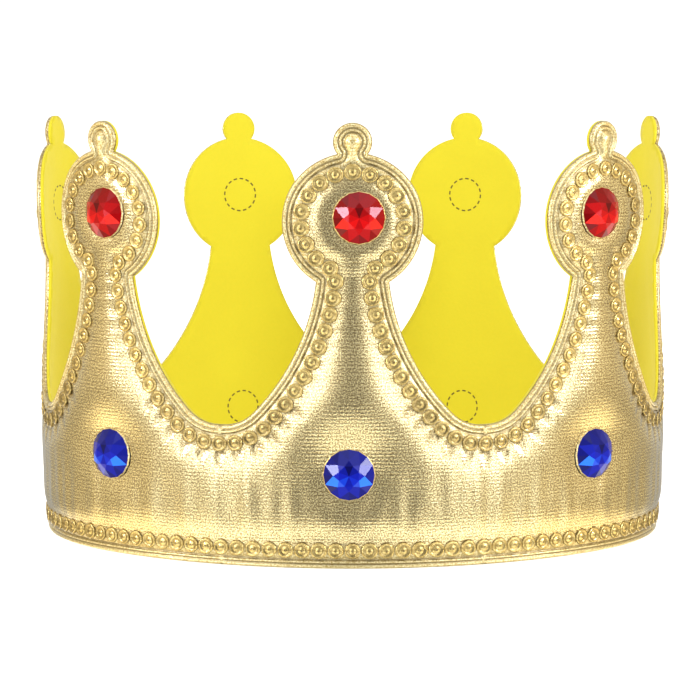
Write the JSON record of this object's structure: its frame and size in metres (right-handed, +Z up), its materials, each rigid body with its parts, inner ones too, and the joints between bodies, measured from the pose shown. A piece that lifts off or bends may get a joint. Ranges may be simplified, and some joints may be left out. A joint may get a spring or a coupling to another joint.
{
  "type": "costume crown",
  "caption": "Soft padded costume crown: an oval gold fabric band with round-headed points, beaded edges, red and blue gems and a yellow lining.",
  "frame": {"origin": "middle of the oval band, at the height of its bottom edge", "axes": "+Z up, the front point of the crown faces -Y, +X to the right as seen from the front"},
  "size_m": [0.2178, 0.1779, 0.1391],
  "materials": {
    "gold_fabric": "metallic sheen",
    "yellow_felt": "matte",
    "gold_beads": "metallic sheen",
    "red_acrylic": "gloss",
    "blue_acrylic": "gloss"
  },
  "bodies": {
    "root": {"gold_cover": "gold_fabric", "yellow_lining": "yellow_felt", "bead_trim": "gold_beads", "red_gem_1": "red_acrylic", "red_gem_2": "red_acrylic", "red_gem_3": "red_acrylic", "red_gem_4": "red_acrylic", "red_gem_5": "red_acrylic", "red_gem_6": "red_acrylic", "red_gem_7": "red_acrylic", "blue_gem_1": "blue_acrylic", "blue_gem_2": "blue_acrylic", "blue_gem_3": "blue_acrylic", "blue_gem_4": "blue_acrylic", "blue_gem_5": "blue_acrylic", "blue_gem_6": "blue_acrylic", "blue_gem_7": "blue_acrylic"}
  },
  "joints": []
}
